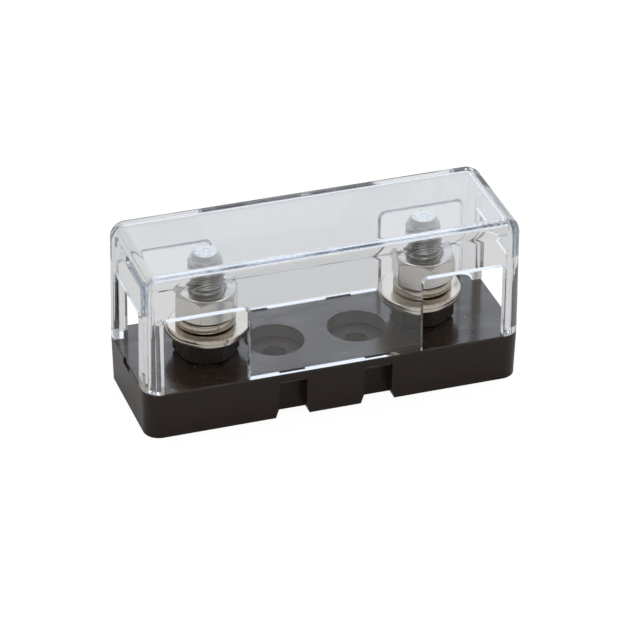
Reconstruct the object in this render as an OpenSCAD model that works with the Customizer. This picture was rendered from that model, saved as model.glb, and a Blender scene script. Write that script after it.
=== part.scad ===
// Bolt-down fuse block: black base, two M8 terminal studs with their hardware, clear clip-on cover

/* [Block] */
// Length of the block
block_l = 88; // [86:0.5:92]
// Width of the block
block_w = 31; // [30:0.5:34]
// Height of the base alone
base_h = 11.5; // [11:0.25:13]
// Height of the block with its cover on
block_h = 40.2; // [39.5:0.1:44]
// Radius of the four upright corners
corner_r = 4; // [3.9:0.1:4.5]

/* [Base] */
// How much each side of the base leans in towards its foot
base_draft = 0.35; // [0.1:0.05:0.5]
// Bevel along the foot of the base
foot_bevel = 0.2; // [0.1:0.05:0.6]
// Bevel along the top edge of the base
rim_bevel = 0.25; // [0.1:0.05:0.4]
// Distance between the mounting holes
hole_pitch = 19.4; // [19:0.2:20]
// Diameter of a mounting hole
hole_d = 5.4; // [4.5:0.1:6]
// Diameter of the counterbore for the screw head
counterbore_d = 13.4; // [12:0.2:13.6]
// Depth of the counterbore
counterbore_depth = 3.4; // [2.5:0.1:4]
// Depth of the moulding cores in the underside
core_depth = 6; // [4:0.5:6.5]
// Thickness of the outer walls beside the cores
base_wall = 2.5; // [2:0.1:3]
// Thickness of the ribs between the cores
rib = 2.2; // [1.8:0.1:2.4]

/* [Cover] */
// Wall of the cover at its open edge
wall = 2.3; // [2:0.1:2.5]
// Thickness of the cover's roof
roof = 2.3; // [2:0.1:2.5]
// How much each wall leans in towards the roof
cover_draft = 0.2; // [0.1:0.05:0.3]
// Outer radius where the walls turn into the roof
roof_r = 3.5; // [2.5:0.1:3.7]
// Inner radius where the walls turn into the roof
inner_roof_r = 1.2; // [0.6:0.1:1.4]
// Height of the cable windows above the base
window_h = 18.2; // [16:0.2:19]
// Width of the windows in the long walls
side_window_w = 19.6; // [17:0.2:20]
// Distance between the middles of a long wall's two windows
side_window_pitch = 60; // [59:0.5:61]
// Width of the windows in the end walls
end_window_w = 20; // [16:0.5:20.5]
// Radius of the windows' upper corners
window_r = 1.3; // [0.5:0.1:2]

/* [Snap tabs] */
// Distance between the two tabs of a long wall
tab_pitch = 20; // [19:0.5:22]
// Width of a tab
tab_w = 6; // [5:0.2:6]
// Thickness of a tab's tongue
tab_t = 1.1; // [0.9:0.1:1.2]
// Thickness of the base's ledge over each recess
ledge_t = 2; // [1.8:0.1:2.4]
// Height of the hook under the ledge
hook_h = 1; // [0.8:0.1:1.2]
// How far the hook stands out from its tongue
hook_reach = 0.7; // [0.5:0.05:0.75]
// Width of the recess that opens under each ledge
recess_w = 6.6; // [6.4:0.1:7]
// Depth of the recess behind the base's face
recess_depth = 3.7; // [3.4:0.1:3.9]

/* [Studs] */
// Distance between the studs, set by the fuse they take
stud_pitch = 51; // [50:0.5:52]
// Diameter of the studs
stud_d = 8; // [7.8:0.1:8]
// Height of the stud tops above the underside
stud_top = 35.5; // [33:0.5:36]
// Width across flats of the bolt heads and nuts
hex_af = 13; // [12.8:0.1:13]
// Height of the bolt head
head_h = 5.3; // [5:0.1:5.4]
// Radius of the flat on the stud's end
stud_tip_r = 2.75; // [2.4:0.05:3.2]
// Height of the stud's bevelled end
stud_tip_h = 2.2; // [1:0.1:2.6]

/* [Stack] */
// Height of the black seat nut
seat_nut_h = 5.5; // [5:0.1:6]
// Thickness of each plain washer
washer_t = 1; // [0.8:0.1:1.2]
// Outside diameter of the plain washers
washer_d = 18.8; // [17:0.2:19]
// Diameter of the hole in the plain washers
washer_hole_d = 9.3; // [9.3:0.1:9.6]
// How far each plain washer has slipped off its stud's middle
washer_slip = 0.6; // [0:0.05:0.6]
// Thickness of the lock washer's wire
lock_t = 2; // [1.6:0.1:2]
// Rise from one end of the lock washer to the other
lock_rise = 0.4; // [0.2:0.1:0.4]
// Outside diameter of the lock washer
lock_d = 13.6; // [13.2:0.2:14.8]
// Gap between the ends of the lock washer, in degrees
lock_gap = 12; // [8:1:20]
// Height of the terminal nut
terminal_nut_h = 6.5; // [6:0.1:6.5]

/* [Hidden] */
$fn = 64;
arc_steps = 12;

// How far a cut runs past the face that it opens: closely, and where there is room
eps = 0.05;
overcut = 1;

// Radial room between a stud and what goes round it
thread_room = 0.05;
hole_room = 0.25;

// Bolt heads sit in hex pockets, a little above the underside
pocket_room = 0.15;
head_seat = 5.5;

// Heights of the stack, from the top of the base upwards
washer_z = base_h + seat_nut_h;
upper_washer_z = washer_z + washer_t;
lock_z = upper_washer_z + washer_t;
terminal_nut_z = lock_z + lock_t + lock_rise;

// How each hexagon and lock washer happens to be turned, in degrees
left_seat_turn = 43;
right_seat_turn = 31;
left_terminal_turn = 5;
right_terminal_turn = 21.5;
left_lock_turn = 35;
right_lock_turn = 60;

// Which way each plain washer has slipped, in degrees from the block's right end
left_lower_slip = 45;
left_upper_slip = 0;
right_lower_slip = 156;
right_upper_slip = 180;

// Where the snap tabs stand in the walls, measured from the block's middle line
tab_inner_y = block_w/2 - wall;
tab_outer_y = tab_inner_y + tab_t;
slot_room = 0.25;
hook_gap = 0.1;
hook_top = base_h - ledge_t - hook_gap;
hook_lead = 0.5;

// The recess opens out towards the underside
recess_flare = 0.7;
recess_flare_h = 2.2;

// Sunken mark of the moulding gate, on the left end
gate_w = 4.8;
gate_h = 1.4;
gate_sink = 0.45;

// Hexagon bevels: the flat end as a share of the width across flats, and the slope of the bevel
hex_ac = hex_af/cos(30);
bevel_share = 0.955;
bevel_r = bevel_share*hex_af/2;
bevel_slope = tan(30);
countersink = 0.45;

// Edges broken on the washers, and how far the shank's section runs into the bolt head
washer_bevel = 0.2;
lock_bevel = 0.45;
lock_steps = 48;
shank_root = 1;

stud_r = stud_d/2;
black_plastic = [0.13, 0.12, 0.12];
clear_plastic = [0.86, 0.88, 0.92, 0.35];
bright_steel = [0.72, 0.71, 0.69];
black_steel = [0.15, 0.14, 0.14];

// Points of a quarter round from the side (0) to the top (90)
function quarter_round(centre, r) =
    [for (i = [0:arc_steps]) centre + r*[cos(90*i/arc_steps), sin(90*i/arc_steps)]];

// A rim section carried round a rounded rectangle: straight along the four sides and revolved at the corners
module moulded_block(l, w, r, section) {
    run_x = l/2 - r;
    run_y = w/2 - r;
    z0 = section[0][1];
    z1 = section[len(section) - 1][1];
    rim = concat([[0, z0]], section, [[0, z1]]);
    translate([-run_x, -run_y, z0]) cube([2*run_x, 2*run_y, z1 - z0]);
    for (side = [0:3]) {
        along = side % 2 == 0 ? run_y : run_x;
        out = side % 2 == 0 ? run_x : run_y;
        rotate(90*side) {
            translate([out, along, 0]) rotate([90, 0, 0]) linear_extrude(2*along) polygon(rim);
            translate([out, along, 0]) rotate_extrude(angle = 90) polygon(rim);
        }
    }
}

// Copies for the four snap tabs: two along each long wall
module at_tabs() {
    for (x = [-tab_pitch/2, tab_pitch/2], turn = [0, 180]) rotate(turn) translate([x, 0, 0]) children();
}

module at_left() {
    translate([-stud_pitch/2, 0, 0]) children();
}

module at_right() {
    translate([stud_pitch/2, 0, 0]) children();
}

module at_both() {
    at_left() children();
    at_right() children();
}

// The drafted, bevelled body of the base before anything is cut from it
module base_body() {
    moulded_block(block_l, block_w, corner_r, [
        [corner_r - base_draft - foot_bevel, 0],
        [corner_r - base_draft, foot_bevel],
        [corner_r, base_h - rim_bevel],
        [corner_r - rim_bevel, base_h]
    ]);
}

// Recess below a ledge, flared at the foot, with the slot that lets the tab's tongue through
module snap_recess() {
    half = recess_w/2;
    top = base_h - ledge_t;
    translate([0, block_w/2 + eps, 0]) rotate([90, 0, 0]) linear_extrude(recess_depth + eps) polygon([
        [-half - recess_flare, -eps], [half + recess_flare, -eps],
        [half, recess_flare_h], [half, top], [-half, top], [-half, recess_flare_h]
    ]);
    translate([-tab_w/2 - slot_room, tab_inner_y - slot_room, top - eps])
        cube([tab_w + 2*slot_room, tab_t + 2*slot_room, ledge_t + 2*eps]);
}

module mounting_hole() {
    translate([0, 0, -eps]) cylinder(h = base_h + 2*eps, d = hole_d);
    translate([0, 0, base_h - counterbore_depth]) cylinder(h = counterbore_depth + eps, d = counterbore_d);
}

// Hexagonal pocket for the bolt head, with the bolt's hole above it
module stud_pocket() {
    translate([0, 0, -eps]) cylinder(h = head_seat + eps, d = (hex_af + 2*pocket_room)/cos(30), $fn = 6);
    translate([0, 0, -eps]) cylinder(h = base_h + 2*eps, r = stud_r + hole_room);
}

// One moulding core, given by its two opposite corners in plan, and its mirror copies
module core(low, high) {
    for (mx = [0, 1], my = [0, 1]) mirror([mx, 0, 0]) mirror([0, my, 0])
        translate([low[0], low[1], -eps]) cube([high[0] - low[0], high[1] - low[1], core_depth + eps]);
}

// Cores in the underside: at the ends, beside the studs and between the mounting holes
module underside_cores() {
    inner_x = block_l/2 - base_draft - base_wall;
    inner_y = block_w/2 - base_draft - base_wall;
    pocket_reach = hex_ac/2 + pocket_room + rib;
    pocket_side = hex_af/2 + pocket_room + rib;
    boss_reach = hole_d/2 + rib;
    core([stud_pitch/2 + pocket_reach, rib/2], [inner_x, inner_y]);
    core([stud_pitch/2 - hex_af/2, pocket_side], [stud_pitch/2 + hex_af/2, inner_y]);
    core([rib/2, rib/2], [hole_pitch/2 - boss_reach, inner_y]);
}

module base() {
    color(black_plastic) difference() {
        base_body();
        at_tabs() snap_recess();
        for (x = [-hole_pitch/2, hole_pitch/2]) translate([x, 0, 0]) mounting_hole();
        at_both() stud_pocket();
        underside_cores();
        translate([-block_l/2 - eps, -gate_w/2, base_h - gate_h])
            cube([gate_sink + eps, gate_w, gate_h + eps]);
    }
}

// Outline of a cable window: open at the foot, round at its upper corners
module window_outline(w) {
    corner = [w/2 - window_r, base_h + window_h - window_r];
    side = quarter_round(corner, window_r);
    polygon(concat(
        [[-w/2, base_h - overcut], [w/2, base_h - overcut]],
        side,
        [for (i = [arc_steps:-1:0]) [-side[i][0], side[i][1]]]
    ));
}

// Tongue and hook of one snap tab; the hook's lower edge is bevelled to lead it in
module snap_tab() {
    tip = tab_outer_y + hook_reach;
    foot = hook_top - hook_h;
    translate([-tab_w/2, 0, 0]) rotate([90, 0, 90]) linear_extrude(tab_w) polygon([
        [tab_inner_y, base_h + eps], [tab_inner_y, foot], [tip - hook_reach, foot],
        [tip, foot + hook_lead], [tip, hook_top], [tab_outer_y, hook_top], [tab_outer_y, base_h + eps]
    ]);
}

// The box of the cover: outer form less the hollow and the windows
module cover_shell() {
    roof_reach = corner_r - cover_draft - roof_r;
    inner_r = corner_r - wall;
    inner_h = block_h - roof;
    inner_reach = inner_r - cover_draft - inner_roof_r;
    difference() {
        moulded_block(block_l, block_w, corner_r, concat(
            [[corner_r, base_h]],
            quarter_round([roof_reach, block_h - roof_r], roof_r)
        ));
        moulded_block(block_l - 2*wall, block_w - 2*wall, inner_r, concat(
            [[inner_r, base_h - overcut]],
            quarter_round([inner_reach, inner_h - inner_roof_r], inner_roof_r)
        ));
        for (x = [-side_window_pitch/2, side_window_pitch/2])
            translate([x, block_w, 0]) rotate([90, 0, 0])
                linear_extrude(2*block_w) window_outline(side_window_w);
        translate([-block_l, 0, 0]) rotate([90, 0, 90])
            linear_extrude(2*block_l) window_outline(end_window_w);
    }
}

module cover() {
    color(clear_plastic) union() {
        cover_shell();
        at_tabs() snap_tab();
    }
}

// Hexagonal prism with turned bevels: on top only, or on both ends
module bevelled_hex(h, both) {
    drop = (hex_ac/2 - bevel_r)*bevel_slope + eps;
    wide = hex_ac/2 + eps/bevel_slope;
    foot = both ? [[0, 0], [bevel_r, 0], [wide, drop]] : [[0, 0], [wide, 0]];
    intersection() {
        cylinder(h = h, d = hex_ac, $fn = 6);
        rotate_extrude() polygon(concat(foot, [[wide, h - drop], [bevel_r, h], [0, h]]));
    }
}

module hex_nut(h) {
    bore = stud_r + thread_room;
    cone_h = countersink + eps;
    difference() {
        bevelled_hex(h, true);
        translate([0, 0, -eps]) cylinder(h = h + 2*eps, r = bore);
        translate([0, 0, h - countersink]) cylinder(h = cone_h, r1 = bore, r2 = bore + cone_h);
        translate([0, 0, -eps]) cylinder(h = cone_h, r1 = bore + cone_h, r2 = bore);
    }
}

// Hex-head bolt, head down, with a bevelled end
module stud_bolt() {
    translate([0, 0, head_seat]) rotate([180, 0, 0]) bevelled_hex(head_h, false);
    rotate_extrude() polygon([
        [0, head_seat - shank_root], [stud_r, head_seat - shank_root], [stud_r, stud_top - stud_tip_h],
        [stud_tip_r, stud_top], [0, stud_top]
    ]);
}

// Plain washer that lies at a height of its stack, slipped off the middle in one direction
module plain_washer(z, slip_turn) {
    inner = washer_hole_d/2;
    outer = washer_d/2;
    rotate(slip_turn) translate([washer_slip, 0, z]) rotate_extrude() polygon([
        [inner, 0], [outer - washer_bevel, 0], [outer, washer_bevel], [outer, washer_t - washer_bevel],
        [outer - washer_bevel, washer_t], [inner, washer_t]
    ]);
}

// Split spring washer: a bevelled square section wound once, rising from one end to the other
module lock_washer() {
    inner = stud_r + hole_room;
    outer = lock_d/2;
    section = [
        [inner, 0], [outer - lock_bevel, 0], [outer, lock_bevel], [outer, lock_t - lock_bevel],
        [outer - lock_bevel, lock_t], [inner, lock_t]
    ];
    n = len(section);
    points = [for (i = [0:lock_steps], p = section)
        let (a = lock_gap/2 + (360 - lock_gap)*i/lock_steps)
        [p[0]*cos(a), p[0]*sin(a), p[1] + lock_rise*i/lock_steps]];
    sides = [for (i = [0:lock_steps - 1], k = [0:n - 1], half = [0, 1])
        let (a = i*n + k, b = i*n + (k + 1) % n)
        half == 0 ? [a, a + n, b + n] : [a, b + n, b]];
    ends = [[for (k = [0:n - 1]) k], [for (k = [n - 1:-1:0]) lock_steps*n + k]];
    polyhedron(points, concat(sides, ends));
}

module left_stud() {
    color(bright_steel) at_left() stud_bolt();
}

module left_seat_nut() {
    color(black_steel) at_left() translate([0, 0, base_h]) rotate(left_seat_turn) hex_nut(seat_nut_h);
}

module left_lower_washer() {
    color(bright_steel) at_left() plain_washer(washer_z, left_lower_slip);
}

module left_upper_washer() {
    color(bright_steel) at_left() plain_washer(upper_washer_z, left_upper_slip);
}

module left_lock_washer() {
    color(bright_steel) at_left() translate([0, 0, lock_z]) rotate(left_lock_turn) lock_washer();
}

module left_terminal_nut() {
    color(bright_steel) at_left() translate([0, 0, terminal_nut_z]) rotate(left_terminal_turn)
        hex_nut(terminal_nut_h);
}

module right_stud() {
    color(bright_steel) at_right() stud_bolt();
}

module right_seat_nut() {
    color(black_steel) at_right() translate([0, 0, base_h]) rotate(right_seat_turn) hex_nut(seat_nut_h);
}

module right_lower_washer() {
    color(bright_steel) at_right() plain_washer(washer_z, right_lower_slip);
}

module right_upper_washer() {
    color(bright_steel) at_right() plain_washer(upper_washer_z, right_upper_slip);
}

module right_lock_washer() {
    color(bright_steel) at_right() translate([0, 0, lock_z]) rotate(right_lock_turn) lock_washer();
}

module right_terminal_nut() {
    color(bright_steel) at_right() translate([0, 0, terminal_nut_z]) rotate(right_terminal_turn)
        hex_nut(terminal_nut_h);
}

base();
cover();
left_stud();
left_seat_nut();
left_lower_washer();
left_upper_washer();
left_lock_washer();
left_terminal_nut();
right_stud();
right_seat_nut();
right_lower_washer();
right_upper_washer();
right_lock_washer();
right_terminal_nut();
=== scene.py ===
"""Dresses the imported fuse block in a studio: base, clear cover, threaded studs, nuts and washers."""

from __future__ import annotations

import logging
import math
from dataclasses import dataclass, field
from enum import Enum
from typing import Any, Iterable

import bmesh
import bpy
import numpy as np
from mathutils import Matrix, Vector

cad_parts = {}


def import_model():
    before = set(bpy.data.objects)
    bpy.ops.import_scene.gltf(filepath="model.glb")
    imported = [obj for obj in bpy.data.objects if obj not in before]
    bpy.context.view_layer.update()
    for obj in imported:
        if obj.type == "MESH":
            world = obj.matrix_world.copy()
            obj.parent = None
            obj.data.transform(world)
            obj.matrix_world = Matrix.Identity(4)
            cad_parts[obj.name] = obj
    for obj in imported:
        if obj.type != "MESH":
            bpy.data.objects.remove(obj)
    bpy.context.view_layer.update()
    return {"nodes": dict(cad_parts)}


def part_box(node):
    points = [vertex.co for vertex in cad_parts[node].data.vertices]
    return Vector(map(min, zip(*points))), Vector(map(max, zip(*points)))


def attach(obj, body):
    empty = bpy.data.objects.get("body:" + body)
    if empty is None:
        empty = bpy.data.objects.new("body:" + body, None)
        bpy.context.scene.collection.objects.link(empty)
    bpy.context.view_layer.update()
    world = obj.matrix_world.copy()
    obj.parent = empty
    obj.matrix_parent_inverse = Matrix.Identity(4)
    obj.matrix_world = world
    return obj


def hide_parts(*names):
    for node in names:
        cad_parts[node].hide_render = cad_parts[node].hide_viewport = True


Array = np.ndarray
Colour = tuple[float, float, float]

LOG = logging.getLogger("fuse_block")
MM = 0.001

# Broken edges of the two mouldings, and the air under the cover's foot
BASE_EDGE = 0.2 * MM
COVER_EDGE = 0.15 * MM
COVER_ROOM = 0.04 * MM

FULL_TURN = 2 * math.pi
QUARTER_TURN = math.pi / 2
NEVER_SHARP = math.pi
HEX_SIDES = 6
HEX_SECTOR = FULL_TURN / HEX_SIDES
HEX_HALF = HEX_SECTOR / 2

# The largest share of a side that a corner's curve takes up, and the shortest side that has a direction
CURVE_LIMIT = 0.45
SHORTEST_SIDE = 1e-12

# Octaves of the noises, the roughness of the cloudy ones, and the middle of a range from 0 to 1
PLAIN_NOISE = 1.0
FINE_NOISE = 2.0
CLOUD_NOISE = 3.0
STREAK_NOISE = 4.0
CLOUD_ROUGH = 0.6
HALF = 0.5

WHITE: Colour = (1.0, 1.0, 1.0)
BLACK: Colour = (0.0, 0.0, 0.0)


class Side(Enum):
    """The two ends of the block, each with its own terminal."""

    LEFT = "left"
    RIGHT = "right"


class Wall(Enum):
    """The long walls of the cover, by the sign of the side that they are on."""

    FRONT = -1
    REAR = 1


class Grain(Enum):
    """How a bright steel surface was worked, which sets the direction of its fine marks."""

    TURNED = "turned"
    DRAWN = "drawn"
    ROLLED = "rolled"


class Sock:
    """A node's output that takes part in Python arithmetic, each operation adding a Math node."""

    def __init__(self, net: Net, socket: bpy.types.NodeSocket) -> None:
        """Keeps the socket with the net that it belongs to."""
        self.net = net
        self.socket = socket

    def _math(self, operation: str, first: Any, second: Any) -> Sock:
        """Adds one Math node on two values, either of which may be a plain number."""
        return self.net.node("Math", {"operation": operation}, {0: first, 1: second})

    def __add__(self, other: Any) -> Sock:
        """self + other."""
        return self._math("ADD", self, other)

    def __radd__(self, other: Any) -> Sock:
        """other + self."""
        return self._math("ADD", other, self)

    def __sub__(self, other: Any) -> Sock:
        """self - other."""
        return self._math("SUBTRACT", self, other)

    def __rsub__(self, other: Any) -> Sock:
        """other - self."""
        return self._math("SUBTRACT", other, self)

    def __mul__(self, other: Any) -> Sock:
        """self * other."""
        return self._math("MULTIPLY", self, other)

    def __rmul__(self, other: Any) -> Sock:
        """other * self."""
        return self._math("MULTIPLY", other, self)

    def __pow__(self, other: Any) -> Sock:
        """self to the power of other."""
        return self._math("POWER", self, other)

    def __abs__(self) -> Sock:
        """Distance of self from 0."""
        return self._math("ABSOLUTE", self, 0.0)

    def __gt__(self, other: Any) -> Sock:
        """1 where self is above other, else 0."""
        return self._math("GREATER_THAN", self, other)

    def __lt__(self, other: Any) -> Sock:
        """1 where self is below other, else 0."""
        return self._math("LESS_THAN", self, other)


class Net:
    """A node tree with one method that makes any node."""

    def __init__(self, tree: bpy.types.NodeTree) -> None:
        """Starts from an empty tree."""
        self.tree = tree
        self.tree.nodes.clear()

    def node(
        self, kind: str, settings: dict | None = None, inputs: dict | None = None, output: Any = 0
    ) -> Sock:
        """Adds a node.

        Args:
            kind: The node's type without the ShaderNode prefix.
            settings: Properties set first; "stops" gives a ramp's positions and colours.
            inputs: Values or links of its input sockets, by name or number.
            output: The output that is handed back, by name or number.

        Returns:
            The chosen output.
        """
        made = self.tree.nodes.new("ShaderNode" + kind)
        for name, value in (settings or {}).items():
            if name == "stops":
                self._set_stops(made.color_ramp, value)
            else:
                setattr(made, name, value)
        for key, value in (inputs or {}).items():
            self.feed(made.inputs[key], value)
        return Sock(self, made.outputs[output]) if made.outputs else Sock(self, None)

    def feed(self, socket: bpy.types.NodeSocket, value: Any) -> None:
        """Links a Sock to an input, or sets the input to a plain value.

        Args:
            socket: The input.
            value: A Sock, or the value itself. A colour may leave out its alpha.
        """
        if isinstance(value, Sock):
            self.tree.links.new(value.socket, socket)
        elif isinstance(value, tuple) and len(value) == 3 and socket.type == "RGBA":
            socket.default_value = (*value, 1.0)
        else:
            socket.default_value = value

    @staticmethod
    def _set_stops(ramp: bpy.types.ColorRamp, stops: Iterable[tuple[float, Colour]]) -> None:
        """Replaces a ramp's stops.

        Args:
            ramp: The ramp.
            stops: Its new positions and colours, in order.
        """
        while len(ramp.elements) > 1:
            ramp.elements.remove(ramp.elements[0])
        for number, (place, colour) in enumerate(stops):
            element = ramp.elements[0] if number == 0 else ramp.elements.new(place)
            element.position = place
            element.color = (*colour, 1.0)

    def place(self, centre: Vector) -> Sock:
        """Object coordinates measured from a point of the frame."""
        coordinates = self.node("TexCoord", output="Object")
        return self.node("Mapping", {}, {"Vector": coordinates, "Location": tuple(-c for c in centre)})

    def axes(self, vector: Sock) -> tuple[Sock, Sock, Sock]:
        """The three numbers of a vector."""
        parts = self.node("SeparateXYZ", {}, {0: vector}).socket.node
        return tuple(Sock(self, parts.outputs[n]) for n in range(3))

    def polar(self, vector: Sock) -> tuple[Sock, Sock]:
        """Distance from the upright axis, which is the root of x x + y y, and height."""
        x, y, z = self.axes(vector)
        return (x * x + y * y) ** HALF, z

    def stretched(self, vector: Sock, scale: tuple[float, float, float]) -> Sock:
        """A vector scaled along each axis."""
        return self.node("Mapping", {}, {"Vector": vector, "Scale": scale})

    def noise(self, vector: Sock, size: float, detail: float, rough: float = HALF) -> Sock:
        """Noise from 0 to 1 whose lumps are about size metres wide."""
        wanted = {"Vector": vector, "Scale": 1 / size, "Detail": detail, "Roughness": rough}
        return self.node("TexNoise", {}, wanted, "Fac")

    def mapped(
        self, value: Sock, source: tuple[float, float], target: tuple[float, float], kind: str = "LINEAR"
    ) -> Sock:
        """Carries the source range of a value on to the target range, and stays at its ends beyond them."""
        ends = {0: value, 1: source[0], 2: source[1], 3: target[0], 4: target[1]}
        return self.node("MapRange", {"interpolation_type": kind}, ends)

    def blend(self, share: Any, first: Any, second: Any) -> Sock:
        """The first colour at 0 and the second at 1."""
        return self.node("Mix", {"data_type": "RGBA"}, {0: share, 6: first, 7: second}, 2)

    def bump(self, height: Sock, depth: float) -> Sock:
        """A bumped normal from a height of 0 to 1 that stands for depth metres."""
        return self.node("Bump", {}, {"Height": height, "Distance": depth, "Strength": 1.0}, "Normal")

    def surface(self, shader: Sock, volume: Sock | None = None) -> None:
        """Ends the tree in a material or world output."""
        kind = "OutputWorld" if self.tree.id_data.bl_rna.identifier == "World" else "OutputMaterial"
        self.node(kind, {}, {"Surface": shader} if volume is None else {"Surface": shader, "Volume": volume})


def new_material(name: str) -> tuple[bpy.types.Material, Net]:
    """Makes an empty node material and its net.

    Args:
        name: The material's name.

    Returns:
        The material and the net of its tree.
    """
    material = bpy.data.materials.new(name)
    material.use_nodes = True
    return material, Net(material.node_tree)


@dataclass(frozen=True)
class Plating:
    """The two tones of a bright steel, which lie over it in clouds, and its mean roughness."""

    colour: Colour
    shade: Colour
    roughness: float


STUD_PLATING = Plating((0.92, 0.91, 0.90), (0.76, 0.75, 0.74), 0.2)
WASHER_PLATING = Plating((0.78, 0.73, 0.65), (0.64, 0.59, 0.52), 0.14)
LOCK_PLATING = Plating((0.70, 0.65, 0.575), (0.57, 0.52, 0.45), 0.14)
NUT_PLATING = Plating((0.80, 0.78, 0.75), (0.68, 0.655, 0.62), 0.2)


@dataclass(frozen=True)
class BrightSteel:
    """Bright plated steel: warm grey, with fine marks along the way that it was worked."""

    name: str
    centre: Vector
    grain: Grain
    plating: Plating
    roughness_spread: float = 0.1
    cloud_size: float = 2.2 * MM
    mark_size: float = 0.11 * MM
    rolled_size: float = 0.33 * MM
    mark_depth: float = 0.006 * MM
    mark_length: float = 14.0

    def marks(self, net: Net, place: Sock) -> Sock:
        """Height of the fine marks: rings round the axis, lines along it, or an even grain.

        Args:
            net: The material's net.
            place: Coordinates from the piece's centre.

        Returns:
            The height, from 0 to 1.
        """
        if self.grain is Grain.TURNED:
            radius, height = net.polar(place)
            return net.noise(net.node("CombineXYZ", {}, {0: radius, 1: height}), self.mark_size, PLAIN_NOISE)
        if self.grain is Grain.DRAWN:
            return net.noise(net.stretched(place, (1, 1, 1 / self.mark_length)), self.mark_size, PLAIN_NOISE)
        return net.noise(place, self.rolled_size, PLAIN_NOISE)

    def tone(self, net: Net, place: Sock, cloud: Sock) -> Sock:
        """The plating's two tones, by cloud."""
        return net.blend(cloud, self.plating.shade, self.plating.colour)

    def build(self) -> bpy.types.Material:
        """Builds the material: two tones in clouds, uneven gloss and the fine marks as bump.

        Returns:
            The material.
        """
        material, net = new_material(self.name)
        place = net.place(self.centre)
        cloud = net.noise(place, self.cloud_size, CLOUD_NOISE, CLOUD_ROUGH)
        shader = net.node("BsdfPrincipled", {}, {
            "Base Color": self.tone(net, place, cloud),
            "Metallic": 1.0,
            "Roughness": self.plating.roughness + (cloud - HALF) * self.roughness_spread,
            "Normal": net.bump(self.marks(net, place), self.mark_depth),
        })
        net.surface(shader)
        return material


@dataclass(frozen=True)
class StudSteel(BrightSteel):
    """Bright steel of a stud, with painted shade: dimmed most in the thread's root and less on its crests and
    bevel; random lumps on the sawn end.
    """

    top: float = field(kw_only=True)
    end_depth: float = 0.1 * MM
    bevel_depth: float = 2.2 * MM
    # Painted shade: share of the tone kept on the bevel, in the thread's roots and on its crests
    bevel_share: float = 0.78
    root: float = 3.2 * MM
    crest: float = 3.9 * MM
    root_painted_shade: float = 0.27
    crest_painted_shade: float = 0.7
    lump_size: float = 0.6 * MM
    lump_depth: float = 0.05 * MM
    lump_low: float = 0.38
    lump_high: float = 0.55
    lump_share: float = 0.78

    def marks(self, net: Net, place: Sock) -> Sock:
        """Adds the lumps of the sawn end to the marks of rolling.

        Args:
            net: The material's net.
            place: Coordinates from the piece's centre.

        Returns:
            The height, in depths of the marks.
        """
        _, height = net.polar(place)
        lumps = net.noise(place, self.lump_size, FINE_NOISE) * (height > self.top - self.end_depth)
        return super().marks(net, place) + lumps * (self.lump_depth / self.mark_depth)

    def tone(self, net: Net, place: Sock, cloud: Sock) -> Sock:
        """Dims the two tones: painted shade by depth in the thread and evenly on the bevel, and random lumps
        on the sawn end.

        Args:
            net: The material's net.
            place: Coordinates from the piece's centre.
            cloud: The noise that sets the two tones.

        Returns:
            The colour.
        """
        radius, height = net.polar(place)
        # Painted shade: the thread darker towards its roots, the bevel dimmed evenly; the sawn end keeps full
        # tone in random lumps
        thread = net.mapped(radius, (self.root, self.crest), (self.root_painted_shade, self.crest_painted_shade))
        lumps = net.noise(place, self.lump_size, FINE_NOISE)
        patch = net.mapped(lumps, (self.lump_low, self.lump_high), (self.lump_share, 1.0))
        side = thread + (height > self.top - self.bevel_depth) * (self.bevel_share - thread)
        share = side + (height > self.top - self.end_depth) * (patch - side)
        return net.blend(share, BLACK, super().tone(net, place, cloud))


@dataclass(frozen=True)
class BlackSteel:
    """Black finished steel of the seat nuts: brown-black and satin."""

    name: str
    colour: Colour = (0.036, 0.031, 0.027)
    bloom: Colour = (0.055, 0.047, 0.041)
    bloom_size: float = 1.5 * MM
    roughness: float = 0.26
    roughness_spread: float = 0.12
    grain_size: float = 0.16 * MM
    grain_depth: float = 0.008 * MM

    def build(self) -> bpy.types.Material:
        """Builds the material: faint bloom over black and a fine grain.

        Returns:
            The material.
        """
        material, net = new_material(self.name)
        place = net.node("TexCoord", output="Object")
        cloud = net.noise(place, self.bloom_size, CLOUD_NOISE)
        grain = net.noise(place, self.grain_size, FINE_NOISE)
        shader = net.node("BsdfPrincipled", {}, {
            "Base Color": net.blend(cloud, self.colour, self.bloom),
            "Roughness": self.roughness + (grain - HALF) * self.roughness_spread,
            "Normal": net.bump(grain, self.grain_depth),
        })
        net.surface(shader)
        return material


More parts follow.
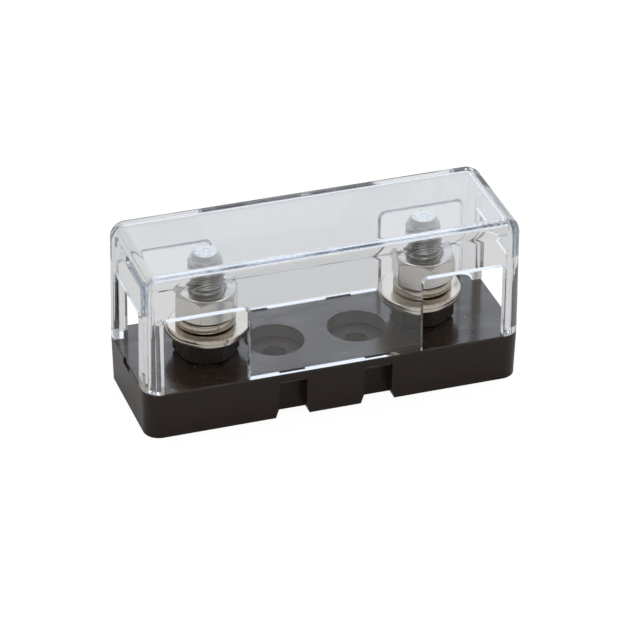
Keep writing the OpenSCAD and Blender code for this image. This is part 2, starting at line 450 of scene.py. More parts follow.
@dataclass(frozen=True)
class BlackPlastic:
    """Black moulding of the base: polished on top, satin on its sides, with a few specks of dust."""

    top: float
    name: str = "black_plastic_moulding"
    colour: Colour = (0.036, 0.024, 0.019)
    dust: Colour = (0.30, 0.29, 0.27)
    # Painted light: the pale grey painted on the counterbores' walls, and a share of it painted on their
    # floors
    hollow_painted_light: Colour = (0.24, 0.23, 0.225)
    floor_painted_light_share: float = 0.35
    sheen: float = 0.3
    side_roughness: float = 0.31
    side_spread: float = 0.14
    top_roughness: float = 0.26
    top_spread: float = 0.1
    top_margin: float = 0.3 * MM
    polish_roughness: float = 0.11
    polish_ior: float = 1.75
    polish_low: float = 0.15
    polish_spread: float = 1.2
    cloud_size: float = 4.0 * MM
    cloud_length: float = 3.0
    grain_size: float = 0.22 * MM
    grain_depth: float = 0.006 * MM
    streak_size: float = 0.9 * MM
    streak_length: float = 7.0
    streak_share: float = 0.5
    dust_cell: float = 1.5 * MM
    dust_radius: float = 0.15 * MM
    dust_on_top: float = 0.5
    dust_dull: float = 0.4
    hollow_dull: float = 0.3
    hollow_floor: float = 8.3 * MM
    hollow_low: float = 5.75 * MM
    hollow_reach: float = 17.0 * MM
    hollow_half: float = 8.0 * MM
    hole_rim: float = 7.8 * MM

    def build(self) -> bpy.types.Material:
        """Builds the material: clouds and streaks on top, grain on the sides, and counterbores with painted
        light (their walls painted pale grey, their floors less so) and specks of dust.

        Returns:
            The material.
        """
        material, net = new_material(self.name)
        place = net.node("TexCoord", output="Object")
        x, y, z = net.axes(place)
        on_top = z > self.top - self.top_margin
        between_studs = (abs(x) < self.hollow_reach) * (abs(y) < self.hollow_half)
        sunk = (1 - on_top) * between_studs * (z > self.hollow_low)
        # Painted light in the counterbores: walls painted fully pale, floors only a share of that
        upright = (z > self.hollow_floor) + (z < self.hole_rim)
        painted_light = sunk * (self.floor_painted_light_share + upright * (1 - self.floor_painted_light_share))
        tone = net.blend(painted_light, self.colour, self.hollow_painted_light)
        grain = net.noise(place, self.grain_size, FINE_NOISE)
        along = net.stretched(place, (1 / self.streak_length, 1, 1))
        streaks = net.noise(along, self.streak_size, STREAK_NOISE, CLOUD_ROUGH)
        drifting = net.stretched(place, (1 / self.cloud_length, 1, 1))
        clouds = net.noise(drifting, self.cloud_size, CLOUD_NOISE, CLOUD_ROUGH)
        cells = net.node("TexVoronoi", {}, {"Vector": place, "Scale": 1 / self.dust_cell}, "Distance")
        speck = (cells < self.dust_radius / self.dust_cell) * (sunk + on_top * self.dust_on_top)
        side_gloss = self.side_roughness + (grain - HALF) * self.side_spread
        top_gloss = self.top_roughness + (streaks - HALF) * self.top_spread
        gloss = side_gloss + on_top * (top_gloss - side_gloss) + sunk * self.hollow_dull
        height = grain + on_top * (streaks * self.streak_share - grain)
        shader = net.node("BsdfPrincipled", {}, {
            "Base Color": net.blend(speck, tone, self.dust),
            "Roughness": gloss + speck * self.dust_dull,
            "Specular IOR Level": self.sheen,
            "Coat Weight": on_top * (self.polish_low + clouds * self.polish_spread),
            "Coat Roughness": self.polish_roughness,
            "Coat IOR": self.polish_ior,
            "Normal": net.bump(height, self.grain_depth),
        })
        net.surface(shader)
        return material


@dataclass(frozen=True)
class ClearPlastic:
    """Clear moulding of the cover: polished, faintly grey, with a lilac cast along its thickness."""

    name: str = "clear_plastic_moulding"
    tint: Colour = (0.97, 0.975, 0.98)
    depth_colour: Colour = (0.35, 0.46, 0.64)
    depth_density: float = 8.0
    ior: float = 1.5
    roughness: float = 0.04
    shadow_tint: Colour = (0.90, 0.91, 0.93)

    def build(self) -> bpy.types.Material:
        """Builds the material: clear to sight, and letting lamp light through to what it covers.

        Returns:
            The material.
        """
        material, net = new_material(self.name)
        clear = net.node("BsdfPrincipled", {}, {
            "Base Color": self.tint,
            "Roughness": self.roughness,
            "IOR": self.ior,
            "Transmission Weight": 1.0,
        })
        passed = net.node("BsdfTransparent", {}, {"Color": self.shadow_tint})
        lamp_ray = net.node("LightPath", output="Is Shadow Ray")
        shader = net.node("MixShader", {}, {0: lamp_ray, 1: clear, 2: passed})
        inside = net.node("VolumeAbsorption", {}, {"Color": self.depth_colour, "Density": self.depth_density})
        net.surface(shader, inside)
        return material


class MeshDraft:
    """Points and faces gathered for one piece before they become a mesh."""

    def __init__(self) -> None:
        """Starts with nothing."""
        self.points: list[Array] = []
        self.faces: list[Array] = []
        self.count = 0

    def add_points(self, points: Array) -> int:
        """Adds points.

        Args:
            points: Points with x, y and z on the last axis.

        Returns:
            The number of the first.
        """
        start = self.count
        self.points.append(points.reshape(-1, 3))
        self.count += len(self.points[-1])
        return start

    def add_grid(self, points: Array, wrap_rows: bool = False, wrap_columns: bool = False) -> Array:
        """Adds a grid of points as quads.

        Args:
            points: Points by row and column. Seen from outside, rows run up and columns to the right.
            wrap_rows: Whether the last row joins the first.
            wrap_columns: Whether the last column joins the first.

        Returns:
            The points' numbers by row and column.
        """
        rows, columns = points.shape[:2]
        numbers = self.add_points(points) + np.arange(rows * columns).reshape(rows, columns)
        looped = np.vstack([numbers, numbers[:1]]) if wrap_rows else numbers
        looped = np.hstack([looped, looped[:, :1]]) if wrap_columns else looped
        quads = np.stack([looped[:-1, :-1], looped[:-1, 1:], looped[1:, 1:], looped[1:, :-1]], axis=-1)
        self.faces.append(quads.reshape(-1, 4))
        return numbers

    def add_fan(self, rim: Array, centre: Array) -> None:
        """Closes a rim of point numbers, anticlockwise from outside, with triangles that meet at a centre."""
        middle = self.add_points(np.asarray(centre, float))
        self.faces.append(np.stack([rim, np.roll(rim, -1), np.full(len(rim), middle)], axis=-1))

    def add_face(self, numbers: Array) -> None:
        """Adds one flat face from point numbers, anticlockwise from outside."""
        self.faces.append(np.asarray(numbers).reshape(1, -1))

    def to_object(self, name: str, smooth_to: float) -> bpy.types.Object:
        """Makes the mesh and its object.

        Args:
            name: The piece's name.
            smooth_to: Edges that turn more than this angle stay sharp.

        Returns:
            The object, linked to the scene.
        """
        mesh = bpy.data.meshes.new(name)
        faces = [face for part in self.faces for face in part.tolist()]
        mesh.from_pydata(np.vstack(self.points).tolist(), [], faces)
        mesh.validate()
        return link_mesh(mesh, smooth_to)

    def to_piece(self, name: str, smooth_to: float) -> bpy.types.Object:
        """Makes the object with its normals evened.

        Args:
            name: The piece's name.
            smooth_to: Edges that turn more than this angle stay sharp.

        Returns:
            The object, linked to the scene.
        """
        piece = self.to_object(name, smooth_to)
        even_normals(piece)
        return piece


def link_mesh(mesh: bpy.types.Mesh, smooth_to: float) -> bpy.types.Object:
    """Shades a mesh smooth up to an angle and links it as an object.

    Args:
        mesh: The mesh, whose name the object takes.
        smooth_to: Edges that turn more than this angle stay sharp.

    Returns:
        The object.
    """
    mesh.shade_smooth()
    mesh.set_sharp_from_angle(angle=smooth_to)
    piece = bpy.data.objects.new(mesh.name, mesh)
    bpy.context.scene.collection.objects.link(piece)
    return piece


def even_normals(piece: bpy.types.Object) -> None:
    """Lets large flat faces set the normals of the rounds beside them."""
    modifier = piece.modifiers.new("even_normals", "WEIGHTED_NORMAL")
    modifier.keep_sharp = True


def points_of(mesh: bpy.types.Mesh) -> Array:
    """Reads the points of a mesh.

    Args:
        mesh: The mesh.

    Returns:
        Its points, as rows of x, y and z.
    """
    points = np.empty(len(mesh.vertices) * 3)
    mesh.vertices.foreach_get("co", points)
    return points.reshape(-1, 3)


def polar_points(node: bpy.types.Object, centre: Vector) -> tuple[Array, Array, Array]:
    """Distances from an upright axis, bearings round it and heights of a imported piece's points."""
    x, y, z = (points_of(node.data) - np.array(centre)).T
    return np.hypot(x, y), np.arctan2(y, x), z


def outlined(columns: int, *corners: tuple[Any, Any]) -> Array:
    """Profiles by corner and column, from each corner's radius and height: one number, or one per column."""
    blank = np.zeros(columns)
    return np.stack([np.stack([blank + radius, blank + height], -1) for radius, height in corners])


def rounded(profile: Array, reach: float, steps: int) -> Array:
    """Rounds the inner corners of open profiles.

    Each corner becomes a curve that leaves the line reach before the corner and joins the next one reach
    after it: (1-t)^2 a + 2t(1-t) corner + t^2 b. The reach is cut to CURVE_LIMIT of a shorter side.

    Args:
        profile: Points of one profile per column, as rows by columns by 2.
        reach: How far before and after a corner its curve runs.
        steps: Points on each curve.

    Returns:
        The profiles with curves for corners, rows by columns by 2.
    """
    before, corner, after = profile[:-2], profile[1:-1], profile[2:]
    legs = []
    for other in (before, after):
        run = other - corner
        length = np.maximum(np.linalg.norm(run, axis=-1, keepdims=True), SHORTEST_SIDE)
        legs.append(corner + run / length * np.minimum(reach, CURVE_LIMIT * length))
    t = np.linspace(0, 1, steps)[None, :, None, None]
    curves = (1 - t) ** 2 * legs[0][:, None] + 2 * t * (1 - t) * corner[:, None] + t**2 * legs[1][:, None]
    return np.concatenate([profile[:1], curves.reshape(-1, *profile.shape[1:]), profile[-1:]])


def revolved(profile: Array, angles: Array, centre: Vector) -> Array:
    """Places profiles of radius and height round an upright axis: x = cx + r cos a, y = cy + r sin a.

    Args:
        profile: Radius and height on the last axis, by row and column.
        angles: Bearing of each column.
        centre: A point of the axis.

    Returns:
        The points, by row and column.
    """
    radius, height = profile[..., 0], profile[..., 1]
    x = centre.x + radius * np.cos(angles)
    y = centre.y + radius * np.sin(angles)
    return np.stack([x, y, np.broadcast_to(height, x.shape)], axis=-1)


@dataclass(frozen=True)
class Thread:
    """A right-handed metric thread: flat crests, straight flanks and flat roots on a helix."""

    radius: float = 3.97 * MM
    pitch: float = 1.25 * MM
    depth: float = 0.72 * MM
    crest: float = 0.14
    root: float = 0.2
    rows_per_turn: int = 16

    def at(self, angles: Array, heights: Array) -> Array:
        """Radius of the thread: the distance from the crest, as a share of half a turn, sets its depth.

        Args:
            angles: Bearings round the axis.
            heights: Heights along it.

        Returns:
            The radii.
        """
        turn = heights / self.pitch - angles / FULL_TURN
        from_crest = np.abs(turn - np.round(turn)) * 2
        sunk = np.clip((from_crest - self.crest) / (1 - self.crest - self.root), 0, 1)
        return self.radius - self.depth * sunk

    def rows(self, start: float, end: float) -> Array:
        """Heights from start to end, up or down, that are close enough to draw the flanks."""
        return np.linspace(start, end, max(2, round(abs(end - start) / self.pitch * self.rows_per_turn)))

    def profile(self, angles: Array, heights: Array, room: float = 0.0) -> Array:
        """Radius, with room added, and height of the thread by row and column."""
        radius = self.at(angles[None], heights[:, None]) + room
        return np.stack(np.broadcast_arrays(radius, heights[:, None]), -1)


@dataclass(frozen=True)
class Hexagon:
    """The outline of a nut or bolt head: six flats with rounded corners, and bevels turned on its ends."""

    half_width: float
    turn: float
    corner: float = 0.28 * MM
    bevel_share: float = 0.955
    bevel_slope: float = math.tan(math.radians(30))
    flat_steps: int = 12
    corner_steps: int = 4

    @classmethod
    def of_node(cls, node: bpy.types.Object, centre: Vector, half_width: float) -> Hexagon:
        """Reads how a packed hexagon is turned from the bearings of its farthest points.

        Args:
            node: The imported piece.
            centre: A point of its axis.
            half_width: Half of its width across flats.

        Returns:
            The outline.
        """
        margin = 0.01 * MM
        reach, bearings, _ = polar_points(node, centre)
        farthest = bearings[reach > reach.max() - margin]
        corner = np.angle(np.mean(np.exp(1j * HEX_SIDES * farthest))) / HEX_SIDES
        return cls(half_width, float(corner))

    def _flat_end(self) -> float:
        """Bearing of a flat's end from its middle, where the corner's round begins."""
        return math.atan((self.half_width - self.corner) * math.tan(HEX_HALF) / self.half_width)

    def angles(self) -> Array:
        """Sets the columns even along each flat and close together round each corner.

        Returns:
            Their bearings.
        """
        edge = self._flat_end()
        flat = np.linspace(-edge, edge, self.flat_steps)
        round_part = np.linspace(edge, HEX_SECTOR - edge, self.corner_steps + 2)[1:-1]
        sector = np.concatenate([flat, round_part])
        middles = self.turn + HEX_HALF + HEX_SECTOR * np.arange(HEX_SIDES)
        return (middles[:, None] + sector).ravel()

    def reach(self, angles: Array) -> Array:
        """Distance from the axis: half_width / cos along a flat, and a circle round each corner.

        Args:
            angles: Bearings.

        Returns:
            The distance at each.
        """
        off = np.mod(angles - self.turn, HEX_SECTOR) - HEX_HALF
        flat = self.half_width / np.cos(off)
        middle = (self.half_width - self.corner) / math.cos(HEX_HALF)
        off_corner = HEX_HALF - np.abs(off)
        inside = np.maximum(self.corner**2 - (middle * np.sin(off_corner)) ** 2, 0)
        bend = middle * np.cos(off_corner) + np.sqrt(inside)
        return np.where(np.abs(off) > self._flat_end(), bend, flat)

    def bevel_radius(self) -> float:
        """Radius of the flat end inside the bevel."""
        return self.bevel_share * self.half_width

    def bevel_drop(self, reach: Array) -> Array:
        """How far the bevel has dropped where it meets the side at that reach."""
        return np.maximum(reach - self.bevel_radius(), 0) * self.bevel_slope


@dataclass
class Nut:
    """A hexagon nut with bevelled ends, countersunk at both, and threaded to fit its stud."""

    hexagon: Hexagon
    thread: Thread
    centre: Vector
    low: float
    high: float
    thread_room: float = 0.12 * MM
    countersink: float = 0.45 * MM
    edge: float = 0.14 * MM
    edge_steps: int = 3
    smooth_to: float = math.radians(38)

    def build(self, name: str) -> bpy.types.Object:
        """Builds the nut as one closed grid, whose rows run over its outside and back through the bore.

        Args:
            name: The piece's name.

        Returns:
            The piece.
        """
        angles = self.hexagon.angles()
        reach = self.hexagon.reach(angles)
        drop = self.hexagon.bevel_drop(reach)
        flat = self.hexagon.bevel_radius()
        throat = self.thread.radius + self.thread_room
        mouth = throat + self.countersink
        bore_low = self.low + self.countersink
        bore_high = self.high - self.countersink
        outline = outlined(
            len(angles), (throat, bore_low), (mouth, self.low), (flat, self.low), (reach, self.low + drop),
            (reach, self.high - drop), (flat, self.high), (mouth, self.high), (throat, bore_high),
        )
        skin = rounded(outline, self.edge, self.edge_steps)
        heights = self.thread.rows(bore_high, bore_low)[1:-1]
        profile = np.concatenate([skin, self.thread.profile(angles, heights, self.thread_room)])
        draft = MeshDraft()
        draft.add_grid(revolved(profile, angles, self.centre), wrap_rows=True, wrap_columns=True)
        return draft.to_piece(name, self.smooth_to)


@dataclass
class Stud:
    """A hex-head bolt standing head down, threaded to its bevelled end."""

    hexagon: Hexagon
    thread: Thread
    centre: Vector
    low: float
    high: float
    seat: float
    thread_from: float
    tip_radius: float = 2.75 * MM
    tip_height: float = 2.2 * MM
    edge: float = 0.2 * MM
    edge_steps: int = 4
    smooth_to: float = math.radians(50)

    def build(self, name: str) -> bpy.types.Object:
        """Builds the bolt as one closed grid, with the thread's radius cut by the cone of its end.

        Args:
            name: The piece's name.

        Returns:
            The piece.
        """
        angles = self.hexagon.angles()
        reach = self.hexagon.reach(angles)
        drop = self.hexagon.bevel_drop(reach)
        flat = self.hexagon.bevel_radius()
        shank = self.thread.radius
        outline = outlined(
            len(angles), (flat / 2, self.low), (flat, self.low), (reach, self.low + drop), (reach, self.seat),
            (shank, self.seat), (shank, self.thread_from),
        )
        lower = rounded(outline, self.edge, self.edge_steps)
        heights = self.thread.rows(self.thread_from, self.high - self.edge)[1:]
        slope = (shank - self.tip_radius) / self.tip_height
        cone = self.tip_radius + (self.high - heights) * slope
        threads = self.thread.profile(angles, heights)
        threads[..., 0] = np.minimum(threads[..., 0], cone[:, None])
        end = outlined(len(angles), (self.tip_radius, self.high), (self.tip_radius / 2, self.high))
        tip = rounded(np.concatenate([threads[-1:], end]), self.edge, self.edge_steps)
        profile = np.concatenate([lower, threads[:-1], tip])
        draft = MeshDraft()
        numbers = draft.add_grid(revolved(profile, angles, self.centre), wrap_columns=True)
        draft.add_fan(numbers[0][::-1], [self.centre.x, self.centre.y, self.low])
        draft.add_fan(numbers[-1], [self.centre.x, self.centre.y, self.high])
        return draft.to_piece(name, self.smooth_to)


@dataclass
class PlainWasher:
    """A flat washer pressed from sheet: its upper rim is rolled over and its lower one is crisp."""

    centre: Vector
    low: float
    high: float
    radius: float
    hole: float
    upper_edge: float = 0.34 * MM
    lower_edge: float = 0.14 * MM
    edge_steps: int = 6
    columns: int = 144
    smooth_to: float = math.radians(40)

    def build(self, name: str) -> bpy.types.Object:
        """Builds the washer as one closed ring of a rounded section.

        Args:
            name: The piece's name.

        Returns:
            The piece.
        """
        angles = np.linspace(0, FULL_TURN, self.columns, endpoint=False)
        middle = (self.low + self.high) / 2
        lower = outlined(
            1, (self.hole, middle), (self.hole, self.low), (self.radius, self.low), (self.radius, middle)
        )
        upper = outlined(
            1, (self.radius, middle), (self.radius, self.high), (self.hole, self.high), (self.hole, middle)
        )
        section = np.concatenate([
            rounded(lower, self.lower_edge, self.edge_steps)[:-1],
            rounded(upper, self.upper_edge, self.edge_steps)[:-1],
        ])
        profile = np.broadcast_to(section, (len(section), len(angles), 2))
        draft = MeshDraft()
        draft.add_grid(revolved(profile, angles, self.centre), wrap_rows=True, wrap_columns=True)
        return draft.to_piece(name, self.smooth_to)


@dataclass
class LockWasher:
    """A split spring washer: a nearly square wire wound once, its ends a little apart in height."""

    centre: Vector
    low: float
    high: float
    radius: float
    hole: float
    split_at: float
    gap: float = math.radians(12)
    wire: float = 2.0 * MM
    edge: float = 0.5 * MM
    edge_steps: int = 6
    columns: int = 120
    smooth_to: float = math.radians(40)

    @staticmethod
    def split_of(bearings: Array) -> float:
        """Finds a washer's split, which is the widest step between the bearings of its points.

        Args:
            bearings: Bearings of the washer's points.

        Returns:
            Bearing of the split's middle.
        """
        digits = 5
        spread = np.unique(np.round(bearings, digits))
        steps = np.diff(np.append(spread, spread[0] + FULL_TURN))
        widest = int(np.argmax(steps))
        return float(spread[widest] + steps[widest] / 2)

    def build(self, name: str) -> bpy.types.Object:
        """Builds the washer: the section carried along a helix of less than one turn, with flat ends.

        Args:
            name: The piece's name.

        Returns:
            The piece.
        """
        along = np.linspace(0, 1, self.columns)
        angles = self.split_at + self.gap / 2 + (FULL_TURN - self.gap) * along
        lift = (self.high - self.low - self.wire) * along
        middle = self.low + self.wire / 2
        top = self.low + self.wire
        loop = outlined(
            1, (self.hole, middle), (self.hole, self.low), (self.radius, self.low), (self.radius, top),
            (self.hole, top), (self.hole, middle),
        )
        section = rounded(loop, self.edge, self.edge_steps)[:-1]
        profile = np.repeat(section, len(along), axis=1)
        profile[..., 1] += lift
        draft = MeshDraft()
        numbers = draft.add_grid(revolved(profile, angles, self.centre), wrap_rows=True)
        draft.add_face(numbers[:, 0])
        draft.add_face(numbers[::-1, -1])
        return draft.to_piece(name, self.smooth_to)


@dataclass
class Terminal:
    """One terminal: stud, black seat nut, two plain washers, lock washer and terminal nut."""

    side: Side
    nodes: dict[str, bpy.types.Object]
    thread: Thread = field(default_factory=Thread)
    head_share: float = 1.2

    def _box(self, piece: str) -> tuple[str, Vector, Vector, Vector]:
        """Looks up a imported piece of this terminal.

        Args:
            piece: Its name without the side.

        Returns:
            Its full name, the point of its axis at height 0, and its lowest and highest corners.
        """
        name = f"{self.side.value}_{piece}"
        low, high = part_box(name)
        middle = (low + high) / 2
        return name, Vector((middle.x, middle.y, 0)), low, high

    def _place(
        self, made: bpy.types.Object, node: str, body: str, finish: bpy.types.Material
    ) -> None:
        """Dresses a piece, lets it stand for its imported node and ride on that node's body.

        Args:
            made: The piece.
            node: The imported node.
            body: That node's body.
            finish: The piece's material.
        """
        made.data.materials.append(finish)
        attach(made, body)
        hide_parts(node)
        LOG.info("%s: %d faces", made.name, len(made.data.polygons))

    def build_stud(self, body: str, base_top: float) -> None:
        """Builds the stud. Its head is what stands out past head_share of the thread's radius.

        Args:
            body: The body that it rides on.
            base_top: Height of the base's top, from which the thread is cut.
        """
        node, centre, low, high = self._box("stud")
        hexagon = Hexagon.of_node(self.nodes[node], centre, (high.y - low.y) / 2)
        reach, _, heights = polar_points(self.nodes[node], centre)
        seat = float(heights[reach > self.thread.radius * self.head_share].max())
        stud = Stud(hexagon, self.thread, centre, low.z, high.z, seat, base_top)
        finish = StudSteel(f"bright_steel_{node}", centre, Grain.ROLLED, STUD_PLATING, top=high.z).build()
        self._place(stud.build(f"{node}_threaded"), node, body, finish)

    def build_seat_nut(self, body: str, half_width: float) -> None:
        """Builds the black nut that clamps the stud to the base.

        Args:
            body: The body that it rides on.
            half_width: Half of its width across flats.
        """
        node, centre, low, high = self._box("seat_nut")
        hexagon = Hexagon.of_node(self.nodes[node], centre, half_width)
        nut = Nut(hexagon, self.thread, centre, low.z, high.z)
        finish = BlackSteel(f"black_steel_{node}").build()
        self._place(nut.build(f"{node}_black"), node, body, finish)

    def build_washers(self, body: str) -> None:
        """Builds the two plain washers.

        Args:
            body: The body that they ride on.
        """
        for piece in ("lower_washer", "upper_washer"):
            node, centre, low, high = self._box(piece)
            reach, _, _ = polar_points(self.nodes[node], centre)
            washer = PlainWasher(centre, low.z, high.z, (high.x - low.x) / 2, float(reach.min()))
            finish = BrightSteel(f"bright_steel_{node}", centre, Grain.TURNED, WASHER_PLATING).build()
            self._place(washer.build(f"{node}_pressed"), node, body, finish)

    def build_lock_washer(self, body: str, centre: Vector) -> None:
        """Builds the split lock washer.

        Args:
            body: The body that it rides on.
            centre: The point of the stud's axis at height 0.
        """
        node, _, low, high = self._box("lock_washer")
        reach, bearings, _ = polar_points(self.nodes[node], centre)
        split = LockWasher.split_of(bearings)
        washer = LockWasher(centre, low.z, high.z, float(reach.max()), float(reach.min()), split)
        finish = BrightSteel(f"bright_steel_{node}", centre, Grain.TURNED, LOCK_PLATING).build()
        self._place(washer.build(f"{node}_wound"), node, body, finish)

    def build_terminal_nut(self, body: str, half_width: float) -> None:
        """Builds the bright nut that clamps what is connected.

        Args:
            body: The body that it rides on.
            half_width: Half of its width across flats.
        """
        node, centre, low, high = self._box("terminal_nut")
        hexagon = Hexagon.of_node(self.nodes[node], centre, half_width)
        nut = Nut(hexagon, self.thread, centre, low.z, high.z)
        finish = BrightSteel(f"bright_steel_{node}", centre, Grain.DRAWN, NUT_PLATING).build()
        self._place(nut.build(f"{node}_bevelled"), node, body, finish)

    def build(self, base_top: float) -> None:
        """Builds the whole terminal in the order that it is put together.

        Args:
            base_top: Height of the base's top.
        """
        _, centre, low, high = self._box("stud")
        half_width = (high.y - low.y) / 2
        name = self.side.value
        self.build_stud("block", base_top)
        self.build_seat_nut("block", half_width)
        self.build_washers("block")
        self.build_lock_washer(f"{name}_lock", centre)
        self.build_terminal_nut(f"{name}_nut", half_width)


@dataclass(frozen=True)
class Window:
    """A window in a long wall of the cover, and which of its arrises are rounded."""

    wall: Wall
    middle: float
    outer: bool
    over_top: bool


@dataclass
class WindowRounds:
    """Rounds on the arrises of the cover's windows, as the solid that takes the arrises off."""

    seat: float
    half: Vector
    thickness: float = 2.3 * MM
    lean: float = 0.0076
    width: float = 19.6 * MM
    height: float = 18.2 * MM
    corner: float = 1.3 * MM
    off_middle: float = 30.0 * MM
    radius: float = 1.0 * MM
    start: float = math.radians(12)
    lead: float = 0.05 * MM
    below: float = 1.0 * MM
    steps: int = 8
    corner_steps: int = 13

    def windows(self) -> list[Window]:
        """Lists the rounded windows: both rear ones outside, and the left front one's uprights inside.

        Returns:
            The windows.
        """
        return [
            Window(Wall.FRONT, -self.off_middle, outer=False, over_top=False),
            Window(Wall.REAR, -self.off_middle, outer=True, over_top=True),
            Window(Wall.REAR, self.off_middle, outer=True, over_top=True),
        ]

    def _section(self) -> tuple[Array, Array]:
        """Works out a quarter round, led in and out at its ends.

        Returns:
            Its growth r - r cos a and its depth r - r sin a.
        """
        turn = np.linspace(self.start, QUARTER_TURN, self.steps)
        growth = self.radius * (1 - np.cos(turn))
        depth = self.radius * (1 - np.sin(turn))
        steep = (self.radius - depth[0]) / growth[0]
        growth = np.concatenate([[-self.lead], growth, growth[-1:]])
        depth = np.concatenate([[self.radius + self.lead * steep], depth, [-self.below]])
        return growth, depth

    def _outline(self, window: Window, growth: Array) -> tuple[Array, Array]:
        """Grows a window's outline by each step of the round.

        Args:
            window: The window.
            growth: How far each row is grown.

        Returns:
            Places along the wall and heights, by row and column.
        """
        grown = growth[:, None]
        rising = grown if window.over_top else np.full_like(grown, -self.lead)
        turn = np.linspace(0, QUARTER_TURN, self.corner_steps)
        right = self.width / 2 - self.corner + (self.corner + grown) * np.cos(turn)
        rise = self.seat + self.height - self.corner + (self.corner + rising) * np.sin(turn)
        foot = np.full_like(grown, self.seat - self.below)
        along = np.hstack([self.width / 2 + grown, right, -right[:, ::-1], -self.width / 2 - grown])
        return along + window.middle, np.hstack([foot, rise, rise[:, ::-1], foot])

    def build(self) -> bpy.types.Object:
        """Builds the cutting solids as one mesh, each leaning with the wall that it cuts.

        Returns:
            The cutter.
        """
        growth, depth = self._section()
        draft = MeshDraft()
        for window in self.windows():
            along, height = self._outline(window, growth)
            skin = self.half.y - self.lean * (height - self.seat)
            reach = skin - depth[:, None] if window.outer else skin - self.thickness + depth[:, None]
            grid = np.stack([along, window.wall.value * reach, height], -1)
            numbers = draft.add_grid(grid, wrap_columns=True)
            draft.add_face(numbers[0])
            draft.add_face(numbers[-1][::-1])
        piece = draft.to_object("window_rounds", NEVER_SHARP)
        work = bmesh.new()
        work.from_mesh(piece.data)
        bmesh.ops.recalc_face_normals(work, faces=work.faces)
        work.to_mesh(piece.data)
        work.free()
        return piece


@dataclass
class Moulding:
    """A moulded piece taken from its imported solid, with its edges broken as a mould leaves them."""

    node: bpy.types.Object
    name: str
    body: str
    slot: str
    edge: float
    seat: float = 0.0
    seat_room: float = 0.0
    cutter: bpy.types.Object | None = None
    edge_steps: int = 2
    sharp_from: float = math.radians(28)
    merge: float = 0.002 * MM
    flat_to: float = math.radians(0.4)

    def _lift_foot(self, mesh: bpy.types.Mesh) -> None:
        """Lifts the points that rest on the seat by the seat's room, so that light meets air under them.

        Args:
            mesh: The piece's mesh.
        """
        points = points_of(mesh)
        resting = np.abs(points[:, 2] - self.seat) < self.merge
        points[resting, 2] += self.seat_room
        mesh.vertices.foreach_set("co", points.ravel())

    def _cut(self, piece: bpy.types.Object) -> None:
        """Takes the cutter off the piece with its edges already broken, and removes what that replaces.

        Args:
            piece: The piece, which keeps its object and gets a new mesh.
        """
        modifier = piece.modifiers.new("cut", "BOOLEAN")
        modifier.object = self.cutter
        modifier.solver = "EXACT"
        graph = bpy.context.evaluated_depsgraph_get()
        cut = bpy.data.meshes.new_from_object(piece.evaluated_get(graph))
        spent = (piece.data, self.cutter.data)
        piece.modifiers.clear()
        piece.data = cut
        bpy.data.objects.remove(self.cutter)
        for mesh in spent:
            bpy.data.meshes.remove(mesh)
        cut.name = self.name
        cut.shade_smooth()
        cut.set_sharp_from_angle(angle=self.sharp_from)

    def build(self, finish: bpy.types.Material) -> bpy.types.Object:
        """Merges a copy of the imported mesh, joins its flat faces, rounds its edges and dresses it.

        Args:
            finish: The piece's material.

        Returns:
            The piece.
        """
        mesh = bpy.data.meshes.new(self.name)
        work = bmesh.new()
        work.from_mesh(self.node.data)
        bmesh.ops.remove_doubles(work, verts=work.verts, dist=self.merge)
        bmesh.ops.dissolve_limit(work, angle_limit=self.flat_to, verts=work.verts, edges=work.edges)
        work.to_mesh(mesh)
        work.free()
        mesh.materials.clear()
        mesh.materials.append(finish)
        self._lift_foot(mesh)
        piece = link_mesh(mesh, self.sharp_from)
        bevel = piece.modifiers.new("broken_edges", "BEVEL")
        bevel.width = self.edge
        bevel.segments = self.edge_steps
        bevel.limit_method = "ANGLE"
        bevel.angle_limit = self.sharp_from
        if self.cutter is not None:
            self._cut(piece)
        even_normals(piece)
        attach(piece, self.body)
        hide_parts(self.node.name)
        LOG.info("%s: %d faces in its mesh", piece.name, len(piece.data.polygons))
        return piece


@dataclass(frozen=True)
class SoftBox:
    """A soft rectangular lamp that faces the block."""

    name: str
    place: tuple[float, float, float]
    size: tuple[float, float]
    power: float
    colour: Colour

    def hang(self) -> None:
        """Hangs the lamp, out of the camera's sight."""
        data = bpy.data.lights.new(self.name, "AREA")
        data.shape = "RECTANGLE"
        data.size, data.size_y = self.size
        data.energy = self.power
        data.color = self.colour
        lamp = bpy.data.objects.new(self.name, data)
        place = Vector(self.place)
        facing = place.to_track_quat("Z", "Y").to_matrix().to_4x4()
        lamp.matrix_world = Matrix.Translation(place) @ facing
        lamp.visible_camera = False
        bpy.context.scene.collection.objects.link(lamp)


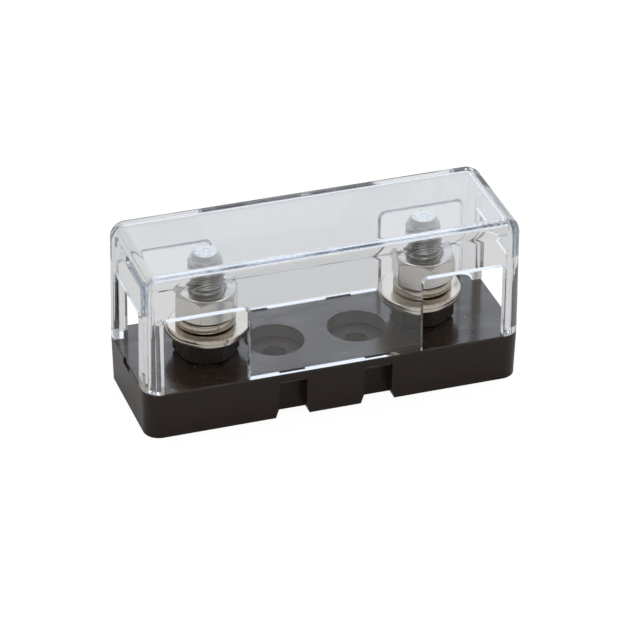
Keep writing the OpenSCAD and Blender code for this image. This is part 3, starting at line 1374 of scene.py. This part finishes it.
@dataclass
class Studio:
    """Pale floor, soft lamps, a dome that is bright at the back and dim in front, and the camera."""

    floor_size: float = 6.0
    floor_drop: float = 0.02 * MM
    floor_white: float = 0.75
    floor_seen: float = 0.15
    floor_glow: float = 1.25
    floor_colour: Colour = (0.80, 0.80, 0.80)
    back_bearing: float = math.radians(37)
    back_tone: Colour = (0.52, 0.56, 0.62)
    side_tone: Colour = (0.44, 0.41, 0.37)
    front_tone: Colour = (0.20, 0.19, 0.18)
    back_stop: float = 0.9
    side_stop: float = 0.5
    front_stop: float = 0.05
    crown_from: float = 0.65
    crown_share: float = 0.35
    light_bounces: int = 96
    azimuth: float = math.radians(-18.985)
    elevation: float = math.radians(31.228)
    roll: float = math.radians(0.565)
    distance: float = 883.0 * MM
    origin_right: float = -1.40 * MM
    origin_up: float = -12.26 * MM
    lens: float = 219.35
    sensor: float = 36.0
    nearest: float = 8.83 * MM
    farthest: float = 24.0
    lamps: tuple[SoftBox, ...] = (
        SoftBox("key_box", (-0.14, -0.40, 0.79), (0.5, 0.4), 0.9, (1.0, 0.98, 0.94)),
        SoftBox("top_box", (0.137, 0.40, 0.795), (0.6, 0.35), 1.4, WHITE),
        SoftBox("back_box", (0.50, 0.90, 0.45), (0.8, 0.6), 0.9, (0.86, 0.92, 1.0)),
    )

    def build_camera(self) -> None:
        """Stands the camera at its bearing, with the block's origin set off from the middle of its frame."""
        a, e = self.azimuth, self.elevation
        back = Vector((math.sin(a) * math.cos(e), -math.cos(a) * math.cos(e), math.sin(e)))
        level = Vector((math.cos(a), math.sin(a), 0))
        rise = back.cross(level)
        right = math.cos(self.roll) * level + math.sin(self.roll) * rise
        up = math.cos(self.roll) * rise - math.sin(self.roll) * level
        data = bpy.data.cameras.new("camera")
        data.sensor_width = self.sensor
        data.lens = self.lens
        data.clip_start = self.nearest
        data.clip_end = self.farthest
        camera = bpy.data.objects.new("camera", data)
        eye = back * self.distance - right * self.origin_right - up * self.origin_up
        camera.matrix_world = Matrix.Translation(eye) @ Matrix((right, up, back)).transposed().to_4x4()
        bpy.context.scene.collection.objects.link(camera)
        bpy.context.scene.camera = camera

    def build_floor(self) -> None:
        """Lays a floor that is white to the camera, pale in glass and metal, and keeps the block's shadow."""
        half = self.floor_size / 2
        draft = MeshDraft()
        across = np.linspace(-half, half, 2)
        x, y = np.meshgrid(across, across)
        draft.add_grid(np.stack([x, y, np.full_like(x, -self.floor_drop)], -1))
        floor = draft.to_object("floor", NEVER_SHARP)
        material, net = new_material("pale_floor")
        paint = net.node("BsdfDiffuse", {}, {"Color": self.floor_colour})
        white = net.node("Emission", {}, {"Color": WHITE, "Strength": self.floor_glow})
        in_view = net.node("LightPath", output="Is Camera Ray")
        in_metal = net.node("LightPath", output="Is Glossy Ray")
        in_glass = net.node("LightPath", output="Is Transmission Ray")
        share = in_view * self.floor_white + (in_metal + in_glass) * self.floor_seen
        net.surface(net.node("MixShader", {}, {0: share, 1: paint, 2: white}))
        floor.data.materials.append(material)

    def build_surround(self) -> None:
        """Shows the camera white and other rays a dome: cool behind, warm beside, dim in front and above."""
        world = bpy.data.worlds.new("surround")
        world.use_nodes = True
        bpy.context.scene.world = world
        net = Net(world.node_tree)
        right, back, up = net.axes(net.node("TexCoord", output="Generated"))
        rear = right * math.sin(self.back_bearing) + back * math.cos(self.back_bearing)
        stops = (
            (self.front_stop, self.front_tone),
            (self.side_stop, self.side_tone),
            (self.back_stop, self.back_tone),
        )
        tone = net.node("ValToRGB", {"stops": stops}, {0: rear * HALF + HALF})
        strength = net.mapped(up, (self.crown_from, 1.0), (1.0, self.crown_share), "SMOOTHSTEP")
        dome = net.node("Background", {}, {"Color": tone, "Strength": strength})
        white = net.node("Background", {}, {"Color": WHITE})
        in_view = net.node("LightPath", output="Is Camera Ray")
        net.surface(net.node("MixShader", {}, {0: in_view, 1: dome, 2: white}))

    def build(self) -> None:
        """Builds the whole studio, with enough bounces for light that runs along inside the clear walls."""
        scene = bpy.context.scene
        scene.view_settings.view_transform = "Standard"
        scene.cycles.max_bounces = self.light_bounces
        scene.cycles.glossy_bounces = self.light_bounces
        scene.cycles.transmission_bounces = self.light_bounces
        self.build_camera()
        self.build_floor()
        self.build_surround()
        for lamp in self.lamps:
            lamp.hang()


def corners(box: tuple[Vector, Vector]) -> list[list[float]]:
    """A box as plain lists of numbers."""
    return [list(box[0]), list(box[1])]


def main() -> None:
    """Builds the dressed block and its studio."""
    logging.basicConfig(level=logging.INFO, format="%(name)s: %(message)s")
    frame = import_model()
    nodes = frame["nodes"]
    base_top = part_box("base")[1].z
    base = Moulding(nodes["base"], "base_moulding", "block", "black_plastic", BASE_EDGE)
    base.build(BlackPlastic(base_top).build())
    rounds = WindowRounds(base_top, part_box("cover")[1]).build()
    cover = Moulding(
        nodes["cover"], "cover_moulding", "cover", "clear_plastic", COVER_EDGE,
        seat=base_top, seat_room=COVER_ROOM, cutter=rounds,
    )
    cover.build(ClearPlastic().build())
    for side in Side:
        Terminal(side, nodes).build(base_top)
    Studio().build()


if __name__ == "__main__":
    main()
